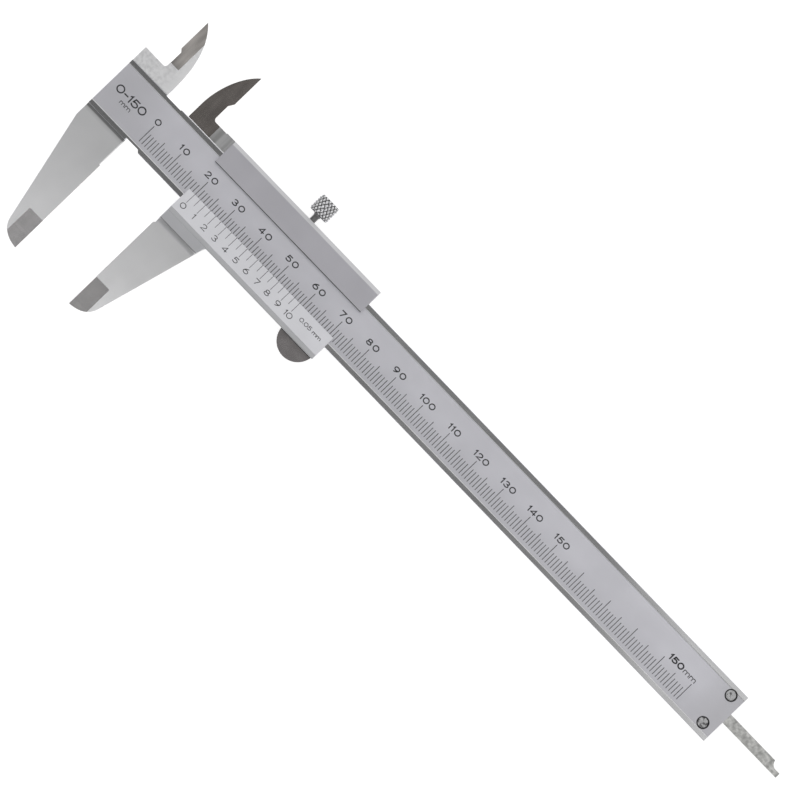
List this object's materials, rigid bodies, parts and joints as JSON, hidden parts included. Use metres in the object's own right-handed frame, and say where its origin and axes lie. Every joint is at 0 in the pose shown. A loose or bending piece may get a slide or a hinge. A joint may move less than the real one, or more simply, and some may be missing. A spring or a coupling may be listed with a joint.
{
  "type": "vernier caliper",
  "caption": "Vernier caliper with outside and inside jaws, depth bar, knurled lock screw and thumb rest, graduated in millimetres.",
  "frame": {"origin": "middle of the base of the whole object's box, on the surface that the back plate rests on", "axes": "+X along the beam away from the fixed jaws, +Y towards the inside jaws, +Z out of the scale face"},
  "size_m": [0.249, 0.0764, 0.0063],
  "materials": {
    "beam_steel": "satin chrome scale face between mirror-ground rails, fine blasted jaws",
    "slider_steel": "satin chrome with ground inside jaw",
    "plate_steel": "brushed",
    "bar_steel": "ground",
    "rest_steel": "dark ground",
    "knob_chrome": "bright chrome, diamond knurled",
    "screw_steel": "turned",
    "bronze": "ground phosphor bronze",
    "brass": "turned brass",
    "scale_ink": "black enamel in the engraving"
  },
  "bodies": {
    "beam": {"main_beam": "beam_steel", "end_stop_plate": "plate_steel", "end_stop_screw_upper": "screw_steel", "end_stop_screw_lower": "screw_steel"},
    "slider": {"slider_frame": "slider_steel", "slider_back_plate": "plate_steel", "back_plate_screw_1": "screw_steel", "back_plate_screw_2": "screw_steel", "back_plate_screw_3": "screw_steel", "back_plate_screw_4": "screw_steel", "depth_bar": "bar_steel", "depth_bar_rivet_1": "bar_steel", "depth_bar_rivet_2": "bar_steel", "gib_strip": "bronze", "gib_set_screw_front": "screw_steel", "gib_set_screw_rear": "screw_steel", "thumb_rest": "rest_steel"},
    "clamp_shoe": {"clamp_shoe": "brass"},
    "lock_screw": {"lock_screw_stem": "screw_steel", "lock_screw_head": "knob_chrome"}
  },
  "joints": [
    {"name": "slider_slide", "type": "slide", "parent": "beam", "child": "slider", "axis": [1, 0, 0], "range_m": [-0.02, 0.135]},
    {"name": "clamp_shoe_travel", "type": "slide", "parent": "slider", "child": "clamp_shoe", "axis": [0, -1, 0], "range_m": [-0.00045, 0.000225]},
    {"name": "lock_screw_turn", "type": "hinge", "parent": "clamp_shoe", "child": "lock_screw", "pos_m": [-0.06245, 0.02185, 0.0032], "axis": [0, -1, 0], "range_deg": [-360, 180]}
  ],
  "couplings": [
    {"joint": "lock_screw_turn", "follows": "clamp_shoe_travel", "rad_per_m": 13963}
  ]
}
